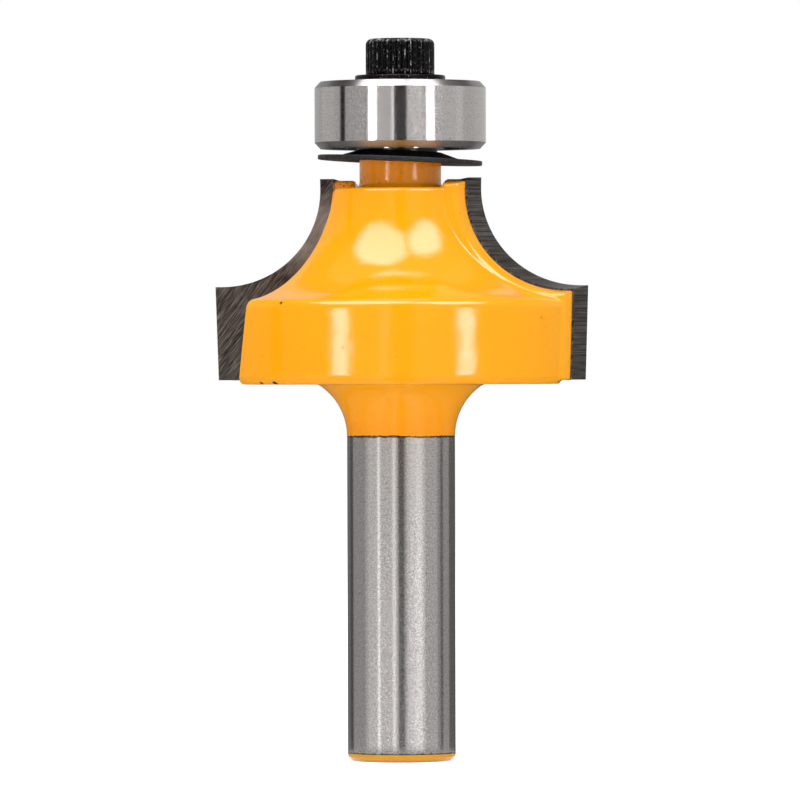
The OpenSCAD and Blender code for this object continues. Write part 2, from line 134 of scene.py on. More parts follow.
def arc(centre, radius, start, end, steps):
    """Points of an arc, as (r, z), with its angles in degrees."""
    angles = np.radians(np.linspace(start, end, steps + 1))
    return [(centre[0] + radius * math.cos(a), centre[1] + radius * math.sin(a)) for a in angles]


def eased(points, radius, steps=3):
    """A closed outline with each of its corners rounded."""
    result = []
    count = len(points)
    for i in range(count):
        before, here, after = (Vector(points[(i + k) % count]) for k in (-1, 0, 1))
        back, on = before - here, after - here
        reach = min(radius, 0.45 * back.length, 0.45 * on.length)
        start, end = here + back.normalized() * reach, here + on.normalized() * reach
        for k in range(steps + 1):
            t = k / steps
            result.append(tuple(start * (1 - t) ** 2 + here * 2 * t * (1 - t) + end * t ** 2))
    return result


def bands(rows, segments, closed=False):
    """Faces between rings of vertices, and between the last ring and the first where closed."""
    faces = []
    for i in range(rows if closed else rows - 1):
        low, high = i * segments, (i + 1) % rows * segments
        for k in range(segments):
            n = (k + 1) % segments
            faces.append((low + k, low + n, high + n, high + k))
    return faces


def lathe(outline, segments=256, closed=True):
    """Vertices and faces of an outline, given as (r, z), turned about the axis."""
    angles = np.arange(segments) * 2 * math.pi / segments
    r = np.array([p[0] for p in outline])[:, None]
    z = np.array([p[1] for p in outline])[:, None]
    x, y = r * np.cos(angles), r * np.sin(angles)
    vertices = np.stack([x, y, z + 0 * angles], axis=-1).reshape(-1, 3)
    return vertices, bands(len(outline), segments, closed)


def spun(name, outline, raised, body, slot, material, node, sharp=None, segments=256, closed=True):
    """A lathe piece, raised along the axis, that stands for a CAD node."""
    vertices, faces = lathe(outline, segments, closed)
    vertices[:, 2] += raised
    piece = link(name, vertices, faces, body, material, [node])
    if sharp:
        sharpen(piece, sharp)


def round_and(a, b, r):
    """Intersection of two distance fields with its outer edge rounded."""
    return np.minimum(-r, np.maximum(a, b)) + np.hypot(np.maximum(r + a, 0), np.maximum(r + b, 0))


def round_or(a, b, r):
    """Union of two distance fields with its inner corner filled."""
    return np.maximum(r, np.minimum(a, b)) - np.hypot(np.maximum(r - a, 0), np.maximum(r - b, 0))


def surface_nets(field, low, high, step):
    """Vertices and faces of the surface where field(points) is zero, moved on to it exactly."""
    axes = [np.arange(a, b + step, step) for a, b in zip(low, high)]
    grid = np.stack(np.meshgrid(*axes, indexing="ij"), axis=-1)
    value = field(grid)
    inside = value < 0
    shape = tuple(n - 1 for n in value.shape)

    def corner(array, offset):
        return array[tuple(slice(o, o + n) for o, n in zip(offset, shape))]

    offsets = [(i, j, k) for i in (0, 1) for j in (0, 1) for k in (0, 1)]
    total = sum(corner(inside, o).astype(np.int8) for o in offsets)
    active = (total > 0) & (total < 8)
    number = -np.ones(shape, np.int64)
    number[active] = np.arange(active.sum())
    cells = np.argwhere(active)
    crossing_sum = np.zeros((len(cells), 3))
    crossings = np.zeros(len(cells))
    for start in offsets:
        for axis in range(3):
            if start[axis]:
                continue
            end = tuple(o + (k == axis) for k, o in enumerate(start))
            f0, f1 = corner(value, start)[active], corner(value, end)[active]
            cut = (f0 < 0) != (f1 < 0)
            t = f0[cut] / (f0[cut] - f1[cut])
            place = np.tile(np.array(start, float), (cut.sum(), 1))
            place[:, axis] += t
            crossing_sum[cut] += place
            crossings[cut] += 1
    vertices = np.array(low) + (cells + crossing_sum / crossings[:, None]) * step
    faces = []
    for axis in range(3):
        u, v = (axis + 1) % 3, (axis + 2) % 3
        size = list(value.shape)
        size[axis] -= 1
        cut_here = [slice(1, n - 1) for n in value.shape]
        cut_here[axis] = slice(0, size[axis])
        ahead = list(cut_here)
        ahead[axis] = slice(1, size[axis] + 1)
        here, there = inside[tuple(cut_here)], inside[tuple(ahead)]
        for flips, mask in ((False, here & ~there), (True, ~here & there)):
            base = np.argwhere(mask)
            base += np.array([0 if k == axis else 1 for k in range(3)])
            quad = []
            for du, dv in ((1, 1), (0, 1), (0, 0), (1, 0)):
                cell = base.copy()
                cell[:, u] -= du
                cell[:, v] -= dv
                quad.append(number[tuple(cell.T)])
            faces.append(np.stack(quad[::-1] if flips else quad, axis=-1))
    faces = np.concatenate(faces)
    for _ in range(4):
        slope = gradient(field, vertices)
        length = np.maximum((slope ** 2).sum(-1, keepdims=True), 0.05)
        move = field(vertices)[:, None] * slope / length
        vertices = vertices - np.clip(move, -step / 2, step / 2)
    return vertices, faces, gradient(field, vertices)


def gradient(field, points, reach=0.004):
    """Slope of a field at points, from its values on either side."""
    parts = []
    for axis in range(3):
        shift = np.zeros(3)
        shift[axis] = reach
        parts.append((field(points + shift) - field(points - shift)) / (2 * reach))
    return np.stack(parts, axis=-1)


# The enamelled head as a distance field, in millimetres

def unit(v):
    return np.array(v, float) / np.linalg.norm(v)


FLANK_DIR = unit([math.tan(math.radians(26)), 1, -math.tan(math.radians(8.5))])
MILL_DIR = unit([0.17, -SHEAR, 1])
WALL_TURN = math.radians(55.7)
WALL_N = np.array([-math.sin(WALL_TURN), math.cos(WALL_TURN), 0])
FLOOR_N = np.array([-math.cos(WALL_TURN / 2), -math.sin(WALL_TURN / 2), 0])
ENAMEL_EDGE = 0.2
ENAMEL_FILLET = 0.14
LAND_FILLET = 0.16
LOWER_RIM_ROUND = 0.62
BAND_ROUND = 0.6
TOP_ROUND = 0.35
STEM_ROUND = 0.12
STEM_FILLET = 0.45
GULLET_FLOOR = 3.6
GULLET_WALL = 1.85
GULLET_FILLET = 0.6
GULLET_BEND = 1.6
LAND_ROUND = 0.12
UNDERCUT_ROUND = 0.3
UNDERCUT_X = 12.15
PAINT_LINE_Z = 24.0
PAINT_DEPTH = 0.012
NECK_ARC_Z = 24.05
INTO_HEAD = 2.0
FOOT_ROUND = 0.52
FOOT_TOP_Z = 0.56
FOOT_LINE_Z = 0.76


def turned_blank(p):
    """Neck, head and stem before the gullets are milled."""
    r, z = np.hypot(p[..., 0], p[..., 1]), p[..., 2]
    flank = FLANK_R - np.hypot(CUT_R - r, FLANK_Z - z)
    head = round_and(r - BAND_R, flank, BAND_ROUND)
    head = round_and(head, HEAD_Z - z, LOWER_RIM_ROUND)
    head = round_and(head, z - HEAD_TOP_Z, TOP_ROUND)
    bend_r = SHANK_R + NECK_FILLET_R
    hollow = np.hypot(np.maximum(bend_r - r, 0), np.maximum(z - NECK_ARC_Z, 0))
    neck = NECK_FILLET_R - hollow - PAINT_DEPTH
    neck = np.maximum(np.maximum(neck, r - bend_r), z - HEAD_Z - INTO_HEAD)
    stem = round_and(r - STEM_R, z - STEM_TOP_Z, STEM_ROUND)
    blank = round_or(head, neck, ENAMEL_FILLET)
    return round_or(blank, np.maximum(stem, HEAD_Z + INTO_HEAD - z), STEM_FILLET)


def wall(p, along, point, outward):
    """Distance in front of the plane through a point that holds along and the milling path."""
    normal = unit(np.cross(along, MILL_DIR))
    normal = normal * np.sign(normal @ outward)
    return (p - point) @ normal


def gullet(p):
    """Milled gullet in front of a tip: the tip's wall, the floor and the wall across from it."""
    up = np.array([0, 0, 1.0])
    back = wall(p, [1, 0, 0], [0, RAKE_OFFSET + TIP_PROUD, TIP_TOP_Z], np.array([0, 1, 0]))
    floor = wall(p, np.cross(up, FLOOR_N), FLOOR_N * GULLET_FLOOR + up * TIP_TOP_Z, -FLOOR_N)
    front = wall(p, np.cross(up, WALL_N), WALL_N * GULLET_WALL + up * TIP_TOP_Z, -WALL_N)
    return round_and(round_and(back, floor, GULLET_FILLET), front, GULLET_BEND)


def cutting_outline(r, z, inset):
    """Outline that a tip cuts, drawn in by inset."""
    cove = COVE_R + inset - np.hypot(np.maximum(COVE_X - r, 0), np.minimum(z - COVE_Z, 0))
    return np.maximum(r - (CUT_R - inset), cove)


def land(p):
    """Raised land behind a tip, led back along the tip's flanks from its edge."""
    x, y, z = p[..., 0], p[..., 1], p[..., 2]
    lean = math.atan(SHEAR)
    behind = (y - RAKE_OFFSET) * math.cos(lean) + (z - TIP_TOP_Z) * math.sin(lean)
    run = (y - RAKE_OFFSET - (TIP_TOP_Z - z) * SHEAR) / (FLANK_DIR[1] + FLANK_DIR[2] * SHEAR)
    x0, y0, z0 = x - run * FLANK_DIR[0], y - run * FLANK_DIR[1], z - run * FLANK_DIR[2]
    sides = np.maximum(
        cutting_outline(np.hypot(x0, y0), z0, LAND_INSET),
        cutting_outline(np.hypot(x, y), z, LAND_INSET),
    )
    sides = round_and(sides, x + LAND_INNER_X, LAND_ROUND)
    sides = round_and(sides, TIP_BOTTOM_Z - z, LAND_ROUND)
    sides = round_and(sides, z0 - (TIP_TOP_Z - LAND_TOP_DROP), 0.06)
    slab = np.maximum(TIP_PROUD + 0.02 - behind, behind - (TIP_T + LAND_T))
    return round_and(sides, slab, 0.3)


def under_tip(p):
    """The corner below a tip's land, which is cut back to the bottom of the tip."""
    x, y, z = p[..., 0], p[..., 1], p[..., 2]
    corner = round_and(z - TIP_BOTTOM_Z + 0.02, x + UNDERCUT_X, UNDERCUT_ROUND)
    return round_and(corner, -y, UNDERCUT_ROUND)


def painted_head(p):
    """The whole painted surface, down to the uneven edge of the paint on the shank."""
    turned = p * np.array([-1.0, -1.0, 1.0])
    body = turned_blank(p)
    for side in (p, turned):
        body = round_and(body, -gullet(side), ENAMEL_EDGE)
    for side in (p, turned):
        body = round_or(body, land(side), LAND_FILLET)
        body = round_and(body, -under_tip(side), 0.1)
    turn = np.arctan2(p[..., 1], p[..., 0])
    line = 0.03 * np.sin(3 * turn + 1) + 0.02 * np.sin(7 * turn) + 0.012 * np.sin(17 * turn + 2)
    return round_and(body, PAINT_LINE_Z + line - p[..., 2], 0.03)


# Finishes

class Finish:
    """A node material whose patterns follow the piece's own coordinates, in millimetres."""

    def __init__(self, name, **sockets):
        self.material = bpy.data.materials.new(name)
        self.material.use_nodes = True
        self.tree = self.material.node_tree
        self.shader = self.tree.nodes["Principled BSDF"]
        self.set(**sockets)
        self.coordinates = self.node("ShaderNodeTexCoord")
        self.place = self.vector("MULTIPLY", self.coordinates.outputs["Object"], (1 / MM,) * 3)

    def feed(self, socket, value):
        """Links a socket to another, or sets its value."""
        if isinstance(value, bpy.types.NodeSocket):
            self.tree.links.new(value, socket)
        else:
            socket.default_value = value

    def set(self, **sockets):
        """Feeds sockets of the shader."""
        for name, value in sockets.items():
            self.feed(self.shader.inputs[name.replace("_", " ")], value)

    def node(self, kind, **settings):
        made = self.tree.nodes.new(kind)
        for name, value in settings.items():
            setattr(made, name, value)
        return made

    def vector(self, operation, *values):
        made = self.node("ShaderNodeVectorMath", operation=operation)
        for socket, value in zip(made.inputs, values):
            self.feed(socket, value)
        return made.outputs["Vector"]

    def math(self, operation, *values):
        made = self.node("ShaderNodeMath", operation=operation)
        for socket, value in zip(made.inputs, values):
            self.feed(socket, value)
        return made.outputs["Value"]

    def noise(self, scale, detail=3.0, roughness=0.5, stretch=(1, 1, 1), turn=(0, 0, 0), shift=0.0):
        """Noise over the piece, turned by degrees, then stretched and shifted."""
        place = self.place
        if any(turn):
            spun = self.node("ShaderNodeVectorRotate", rotation_type="EULER_XYZ")
            self.feed(spun.inputs["Vector"], place)
            spun.inputs["Rotation"].default_value = [math.radians(a) for a in turn]
            place = spun.outputs["Vector"]
        return self.noise_at(self.vector("MULTIPLY_ADD", place, stretch, (shift,) * 3), scale, detail, roughness)

    def noise_at(self, place, scale, detail, roughness=0.5):
        """Noise at a place that is worked out beforehand."""
        made = self.node("ShaderNodeTexNoise")
        for name, value in (("Vector", place), ("Scale", scale), ("Detail", detail), ("Roughness", roughness)):
            self.feed(made.inputs[name], value)
        return made.outputs["Fac"]

    def rings(self, scale):
        """Noise that changes along the axis and the radius only, as turning and grinding leave it."""
        x, y, z = self.split(self.place)
        joined = self.node("ShaderNodeCombineXYZ")
        self.feed(joined.inputs["X"], self.radius(x, y))
        self.feed(joined.inputs["Z"], z)
        return self.noise_at(joined.outputs["Vector"], scale, 2.0)

    def split(self, vector):
        """The three numbers of a vector."""
        parts = self.node("ShaderNodeSeparateXYZ")
        self.feed(parts.inputs["Vector"], vector)
        return [parts.outputs[axis] for axis in "XYZ"]

    def radius(self, x, y):
        """Distance from the axis."""
        squares = self.math("ADD", self.math("MULTIPLY", x, x), self.math("MULTIPLY", y, y))
        return self.math("SQRT", squares)

    def length(self, vector):
        """Length of a vector."""
        made = self.node("ShaderNodeVectorMath", operation="LENGTH")
        self.feed(made.inputs[0], vector)
        return made.outputs["Value"]

    def height(self):
        return self.split(self.place)[2]

    def spread(self, value, low, high, to_low=0.0, to_high=1.0):
        """Value led from one range to another, and kept in it."""
        made = self.node("ShaderNodeMapRange", clamp=True)
        for name, number in (
            ("Value", value), ("From Min", low), ("From Max", high), ("To Min", to_low), ("To Max", to_high),
        ):
            self.feed(made.inputs[name], number)
        return made.outputs["Result"]

    def mix(self, share, first, second):
        """Mix of two colours."""
        made = self.node("ShaderNodeMix", data_type="RGBA")
        self.feed(made.inputs[0], share)
        for number, colour in ((6, first), (7, second)):
            self.feed(made.inputs[number], colour if isinstance(colour, bpy.types.NodeSocket) else (*colour, 1))
        return made.outputs[2]

    def blend(self, share, first, second):
        """Mix of two numbers."""
        made = self.node("ShaderNodeMix", data_type="FLOAT")
        for number, value in ((0, share), (2, first), (3, second)):
            self.feed(made.inputs[number], value)
        return made.outputs[0]

    def ramp(self, value, *stops):
        """Colour along a row of (position, colour)."""
        made = self.node("ShaderNodeValToRGB")
        self.feed(made.inputs["Fac"], value)
        elements = made.color_ramp.elements
        while len(elements) < len(stops):
            elements.new(0.5)
        for element, (position, colour) in zip(elements, stops):
            element.position = position
            element.color = (*colour, 1)
        return made.outputs["Color"]

    def bump(self, height, depth_mm, normal=None):
        """Relief of a depth in mm, on top of another where one is given."""
        made = self.node("ShaderNodeBump")
        self.feed(made.inputs["Strength"], 1.0)
        self.feed(made.inputs["Distance"], depth_mm * MM)
        self.feed(made.inputs["Height"], height)
        if normal is not None:
            self.feed(made.inputs["Normal"], normal)
        self.set(Normal=made.outputs["Normal"])
        return made.outputs["Normal"]

    def turned_grain(self, strength):
        """Stretches the highlight along the axis, across fine rings left by grinding."""
        tangent = self.node("ShaderNodeTangent", direction_type="RADIAL", axis="Z")
        self.set(Anisotropic=strength, Anisotropic_Rotation=0.25, Tangent=tangent.outputs["Tangent"])

    def near(self, point, radius, ragged=0.4):
        """One inside a small ragged spot round a point, and none outside it."""
        away = self.length(self.vector("SUBTRACT", self.place, point))
        edge = self.math("MULTIPLY", self.noise(6.0 / max(radius, 0.1), 2.0), ragged * 2 * radius)
        return self.math("LESS_THAN", self.math("ADD", away, edge), radius * (1 + ragged))


# Chips in the enamel: azimuth from -Y, height, radius and distance from the axis, in degrees and mm
# The spot at 67.5 degrees, in the notch under the right land, is partly painted shade.
CHIPS = (
    (-33.6, 33.85, 0.12, 13.42), (-43.2, 28.0, 0.16, 13.26), (-36.9, 28.0, 0.21, 13.26),
    (-11.3, 30.6, 0.06, 13.55), (56.2, 32.76, 0.06, 13.55), (67.5, 28.4, 0.15, 14.1),
    (-24.5, 24.4, 0.06, 4.1), (24.0, 38.6, 0.06, 7.9), (-8.0, 37.2, 0.05, 8.6),
    (150.0, 30.2, 0.09, 13.55), (205.0, 33.8, 0.08, 13.5), (118.0, 28.4, 0.12, 13.4),
)


def enamel():
    """Thick glossy orange-yellow enamel, deeper in colour on the stem, and deeper on the neck partly as painted
    shade.
    """
    finish = Finish("enamel", IOR=1.45)
    low, high = 0.0, 46.0
    height = finish.height()
    rise = finish.spread(height, low, high)

    def at(z):
        return (z - low) / (high - low)

    # Colour by height: the deeper orange low on the neck is partly painted shade under the head.
    base = finish.ramp(
        rise,
        (at(0.6), (0.80, 0.385, 0.022)),
        (at(23.8), (1.00, 0.368, 0.004)),
        (at(26.5), (1.00, 0.392, 0.003)),
        (at(29.5), (1.00, 0.398, 0.003)),
        (at(38.0), (1.00, 0.412, 0.002)),
        (at(42.3), (1.00, 0.395, 0.003)),
        (at(42.9), (0.98, 0.330, 0.003)),
        (at(44.6), (1.00, 0.290, 0.003)),
    )
    clouds = finish.noise(0.35, 2.0)
    tone = finish.mix(finish.spread(clouds, 0.35, 0.7, 0.0, 0.25), base, (0.99, 0.38, 0.003))
    rough_line = finish.math("MULTIPLY_ADD", finish.noise(2.4, 3.0, 0.6, shift=1.0), 0.35, height)
    above_foot = finish.spread(height, 2, 3)
    at_line = finish.spread(rough_line, PAINT_LINE_Z + 0.21, PAINT_LINE_Z + 0.27, 1.0, 0.0)
    at_line = finish.math("MULTIPLY", at_line, above_foot)
    tone = finish.mix(finish.math("MULTIPLY", at_line, 0.85), tone, (0.10, 0.075, 0.008))
    grime = finish.spread(finish.noise(1.9, 4.0, 0.7, shift=8.0), 0.56, 0.68)
    grime = finish.math("MULTIPLY", finish.spread(height, 42.2, 42.8), grime)
    tone = finish.mix(finish.math("MULTIPLY", grime, 0.35), tone, (0.22, 0.075, 0.010))
    # Painted shade: two dark brown spots in the notches between the tips' lands and the stem.
    corners = [finish.near((-4.2, 2.4, 42.7), 0.7, 1.1), finish.near((4.0, -1.55, 42.85), 0.5, 0.9)]
    corners = finish.math("MULTIPLY", finish.math("MAXIMUM", *corners), 0.8)
    tone = finish.mix(corners, tone, (0.12, 0.030, 0.008))
    pinholes = finish.math("LESS_THAN", finish.noise(5.5, 2.0, 0.6, shift=7.0), 0.272)
    tone = finish.mix(finish.math("MULTIPLY", pinholes, 0.6), tone, (0.16, 0.07, 0.012))
    chipped = None
    for azimuth, z, radius, reach in CHIPS:
        a = math.radians(azimuth)
        spot = finish.near((reach * math.sin(a), -reach * math.cos(a), z), radius)
        chipped = spot if chipped is None else finish.math("MAXIMUM", chipped, spot)
    tone = finish.mix(chipped, tone, (0.035, 0.022, 0.012))
    finish.set(Base_Color=tone)
    gloss = finish.spread(finish.noise(1.6, 3.0, 0.6, shift=3.0), 0.3, 0.7, 0.07, 0.15)
    finish.set(Roughness=finish.math("MAXIMUM", gloss, finish.math("MULTIPLY", chipped, 0.8)))
    peel = finish.bump(finish.noise(0.8, 2.0, 0.4), 0.022)
    fine = finish.bump(finish.noise(6.0, 3.0, 0.6, shift=2.0), 0.0055, peel)
    finish.bump(finish.math("MAXIMUM", pinholes, chipped), -0.012, fine)
    return finish.material


def ground_steel(
    name, base, roughness, grain, speckle=9.0, ring_share=0.25, dark_joint_and_shade_z=None, slope_unshaded_share=1.0, depth=0.0016,
):
    """Ground steel: a fine grain, faint rings round it, small pits and faint stains."""
    finish = Finish(name, Metallic=1.0)
    rings = finish.rings(14.0)
    fine = finish.noise(speckle, 3.0, 0.7)
    stains = finish.noise(0.9, 3.0, 0.6)
    pits = finish.math("LESS_THAN", finish.noise(6.0, 2.0, 0.6, shift=5.0), 0.285)
    surface = finish.blend(ring_share, fine, rings)
    tone = finish.mix(finish.spread(surface, 0.40, 0.60), tuple(0.72 * c for c in base), base)
    tone = finish.mix(finish.spread(stains, 0.5, 0.75, 0.0, 0.25), tone, tuple(0.8 * c for c in base))
    tone = finish.mix(finish.math("MULTIPLY", pits, 0.75), tone, (0.06, 0.05, 0.045))
    facing_up = finish.split(finish.coordinates.outputs["Normal"])[2]
    sloping = finish.spread(finish.math("ABSOLUTE", facing_up), 0.2, 0.4)
    # Sloping faces such as chamfers get a darker base colour here: painted shade.
    painted_shade_on_slopes = finish.math("MULTIPLY", sloping, 1 - slope_unshaded_share)
    tone = finish.mix(painted_shade_on_slopes, tone, (0.05, 0.045, 0.04))
    if dark_joint_and_shade_z is not None:
        # Dark ragged lines on the steel at the paint's edges on the neck and the foot: a dark joint, partly
        # painted shadow under the paint's edge.
        ragged = finish.math("MULTIPLY_ADD", finish.noise(3.0, 3.0, 0.6), 0.3, finish.height())
        near_neck = finish.spread(ragged, dark_joint_and_shade_z, dark_joint_and_shade_z + 0.06, 0.0, 0.9)
        near_foot = finish.spread(ragged, FOOT_LINE_Z, FOOT_LINE_Z + 0.06, 0.85, 0.0)
        lines = finish.math("MAXIMUM", near_neck, near_foot)
        tone = finish.mix(lines, tone, (0.09, 0.065, 0.010))
    finish.set(Base_Color=tone)
    rough = finish.spread(surface, 0.3, 0.7, roughness - 0.04, roughness + 0.05)
    finish.set(Roughness=finish.math("MULTIPLY_ADD", sloping, 0.15, rough))
    finish.bump(surface, depth)
    finish.turned_grain(grain)
    return finish.material


def carbide():
    """Dark carbide: slanted grinding lines on the rake face, level ones on the flanks, and a painted reflection
    high on each rake face.
    """
    finish = Finish("ground_carbide", Metallic=0.8)
    slanted = finish.noise(1.0, 5.0, 0.75, stretch=(0.7, 1, 15.0), turn=(0, 52, 0))
    level = finish.noise(1.0, 3.0, 0.6, stretch=(0.2, 0.2, 15.0), shift=4.0)
    level = finish.math("MULTIPLY_ADD", level, 0.45, 0.27)
    facing = finish.split(finish.coordinates.outputs["Normal"])[1]
    on_rake = finish.math("GREATER_THAN", finish.math("ABSOLUTE", facing), 0.95)
    grain = finish.blend(on_rake, level, slanted)
    clouds = finish.noise(0.9, 4.0, 0.65, shift=2.0)
    pits = finish.math("LESS_THAN", finish.noise(5.0, 3.0, 0.7, shift=6.0), 0.30)
    tone = finish.mix(finish.spread(grain, 0.44, 0.66), (0.009, 0.008, 0.007), (0.290, 0.252, 0.220))
    tone = finish.mix(finish.spread(clouds, 0.42, 0.68, 0.0, 0.55), tone, (0.055, 0.047, 0.042))
    tone = finish.mix(finish.math("MULTIPLY", pits, 0.7), tone, (0.010, 0.009, 0.008))
    side, _, height = finish.split(finish.place)
    ahead = finish.math("MULTIPLY", finish.math("SIGN", side), facing)
    # A lighter grey band high on each rake face, facing forward: painted reflection.
    rake_painted_reflection = finish.math("MULTIPLY", finish.spread(height, 36.0, 38.2), finish.spread(height, 42.3, 40.6))
    rake_painted_reflection = finish.math("MULTIPLY", rake_painted_reflection, finish.math("GREATER_THAN", ahead, 0.95))
    rake_painted_reflection = finish.math("MULTIPLY", rake_painted_reflection, finish.spread(grain, 0.36, 0.6, 0.25, 0.8))
    tone = finish.mix(rake_painted_reflection, tone, (0.40, 0.38, 0.36))
    finish.set(Base_Color=tone)
    finish.set(Roughness=finish.spread(grain, 0.3, 0.7, 0.30, 0.48))
    finish.bump(grain, 0.010)
    return finish.material


def black_oxide(name, knurls=0):
    """Oiled black steel with dust and wear spots; where knurled, bright crests and top rim, which are partly
    crest wear and partly painted glints.
    """
    finish = Finish(name, Specular_IOR_Level=0.10, Coat_Weight=0.02, Coat_Roughness=0.06)
    wear = finish.noise(3.5, 5.0, 0.7)
    dust = finish.noise(7.0, 4.0, 0.8, shift=9.0)
    tone = finish.mix(finish.spread(wear, 0.45, 0.75), (0.0012, 0.0010, 0.0009), (0.006, 0.005, 0.005))
    dusty = finish.spread(dust, 0.64, 0.67, 0.0, 0.85)
    tone = finish.mix(dusty, tone, (0.42, 0.41, 0.38))
    if knurls:
        x, y, z = finish.split(finish.place)
        turn = finish.math("ARCTAN2", y, x)
        crest = finish.math("ABSOLUTE", finish.math("SINE", finish.math("MULTIPLY", turn, knurls / 2)))
        # Bright crest lines and spots on the top rim: crest wear and painted glints in the base colour.
        crest_wear_and_glints = finish.spread(finish.noise(2.6, 4.0, 0.75, stretch=(1, 1, 0.45), shift=12.0), 0.52, 0.64)
        crest_wear_and_glints = finish.math("MULTIPLY", crest_wear_and_glints, finish.spread(crest, 0.965, 0.99))
        outer = finish.spread(finish.radius(x, y), SCREW_HEAD_R - 0.35, SCREW_HEAD_R - 0.2)
        crest_wear_and_glints = finish.math("MULTIPLY", crest_wear_and_glints, outer)
        top = SCREW_HEAD_Z + SCREW_HEAD_H
        rim = finish.math("MULTIPLY", finish.spread(z, top - 0.35, top - 0.1), outer)
        rim_wear_and_glints = finish.spread(finish.noise(2.6, 4.0, 0.75, shift=15.0), 0.55, 0.60, 0.0, 0.8)
        crest_wear_and_glints = finish.math("MAXIMUM", crest_wear_and_glints, finish.math("MULTIPLY", rim, rim_wear_and_glints))
        tone = finish.mix(crest_wear_and_glints, tone, (0.55, 0.54, 0.52))
    finish.set(Base_Color=tone)
    finish.set(Roughness=finish.spread(wear, 0.3, 0.7, 0.10, 0.32))
    finish.bump(wear, 0.03)
    return finish.material


def black_sheet():
    """Matte black sheet with a scuffed rim."""
    finish = Finish("black_sheet", Specular_IOR_Level=0.35)
    grain = finish.noise(5.0, 4.0, 0.65)
    tone = finish.mix(finish.spread(grain, 0.35, 0.75), (0.004, 0.004, 0.005), (0.018, 0.018, 0.019))
    scuffs = finish.spread(finish.noise(2.2, 5.0, 0.75, stretch=(1, 1, 4), shift=6.0), 0.56, 0.72, 0.0, 0.7)
    finish.set(Base_Color=finish.mix(scuffs, tone, (0.13, 0.13, 0.135)))
    finish.set(Roughness=finish.spread(grain, 0.3, 0.7, 0.42, 0.62))
    finish.bump(grain, 0.008)
    return finish.material


def polished(name, base, roughness):
    """Bright hidden steel of the balls, the cage and the shields."""
    finish = Finish(name, Metallic=1.0, Roughness=roughness)
    grain = finish.noise(4.0, 3.0, 0.6)
    finish.set(Base_Color=finish.mix(finish.spread(grain, 0.3, 0.7), tuple(0.85 * c for c in base), base))
    finish.set(Roughness=finish.spread(grain, 0.3, 0.7, roughness * 0.7, roughness * 1.3))
    finish.bump(grain, 0.001)
    return finish.material


def braze():
    """Bead of braze along a tip, half covered by the enamel."""
    finish = Finish("braze", Metallic=1.0, Roughness=0.35)
    lumps = finish.noise(3.0, 3.0, 0.6)
    finish.set(Base_Color=finish.mix(finish.spread(lumps, 0.4, 0.6), (0.55, 0.40, 0.18), (0.72, 0.66, 0.55)))
    finish.bump(lumps, 0.02)
    return finish.material


ENAMEL = enamel()
SHANK_STEEL = ground_steel(
    "shank_steel", (0.80, 0.762, 0.735), 0.21, 0.92, 8.0, 0.12, dark_joint_and_shade_z=PAINT_LINE_Z + 0.07, depth=0.0005,
)
# Near-black steel for the bearing seat, which shows through the gap under the chip shield: oily steel, and
# painted shade for that gap.
SEAT_OIL_AND_PAINTED_SHADE = ground_steel("seat_oil_and_painted_shade", (0.10, 0.09, 0.08), 0.35, 0.5)
BEARING_STEEL = ground_steel(
    "bearing_steel", (0.82, 0.785, 0.755), 0.18, 0.92, 9.0, 0.22, slope_unshaded_share=0.5, depth=0.0008,
)
CARBIDE = carbide()
SCREW_BLACK = black_oxide("screw_black", KNURLS)
WASHER_BLACK = black_oxide("washer_black")
SHEET_BLACK = black_sheet()
BALL_STEEL = polished("ball_steel", (0.85, 0.85, 0.85), 0.08)
CAGE_STEEL = polished("cage_steel", (0.62, 0.58, 0.50), 0.3)
SHIELD_STEEL = polished("shield_steel", (0.66, 0.66, 0.66), 0.28)
BRAZE = braze()


# Pieces

ON_AXIS = 0.001


def make_head():
    """Enamelled head, neck and stem: one surface with soft edges, as thick enamel has."""
    reach = BAND_R + 1.0
    step = 0.175
    low = (-reach, -reach, PAINT_LINE_Z - 0.2)
    high = (reach, reach, STEM_TOP_Z + 0.4)
    vertices, faces, slope = surface_nets(painted_head, low, high, step)
    head = link("enamel_head", vertices, faces, "cutter", ENAMEL, ["cutter_body"])
    normals = slope / np.maximum(np.linalg.norm(slope, axis=-1, keepdims=True), 1e-9)
    head.data.normals_split_custom_set_from_vertices(normals.tolist())


def make_foot():
    """Painted end of the shank."""
    foot = [(ON_AXIS, 0)] + arc((SHANK_R - FOOT_ROUND, FOOT_ROUND), FOOT_ROUND, -90, 0, 10)
    foot += [(SHANK_R, FOOT_TOP_Z), (ON_AXIS, FOOT_TOP_Z)]
    spun("enamel_foot", foot, 0, "cutter", "painted_steel", ENAMEL, "cutter_body", 50, closed=False)


def make_shank():
    """Ground shank between the two paint lines, and the seat of the bearing above the head."""
    start_z, end_z = FOOT_TOP_Z - 0.02, SHANK_LEN + 0.2
    outline = [(ON_AXIS, start_z), (SHANK_R - 0.01, start_z), (SHANK_R, FOOT_TOP_Z)]
    outline += [(SHANK_R, z) for z in np.linspace(2, end_z, 12)] + [(ON_AXIS, end_z)]
    spun("ground_shank", outline, 0, "cutter", "painted_steel", SHANK_STEEL, "cutter_body", 30, closed=False)
    floor_z = STUD_TOP_Z - HOLE_DEPTH
    seat = [
        (HOLE_R, floor_z), (STEP_R, floor_z), (STEP_R, BEARING_Z), (STUD_R, BEARING_Z),
        (STUD_R, STUD_TOP_Z - 0.15), (STUD_R - 0.15, STUD_TOP_Z), (HOLE_R, STUD_TOP_Z),
    ]
    spun("bearing_seat", seat, 0, "cutter", "painted_steel", SEAT_OIL_AND_PAINTED_SHADE, "cutter_body", 30, 128)


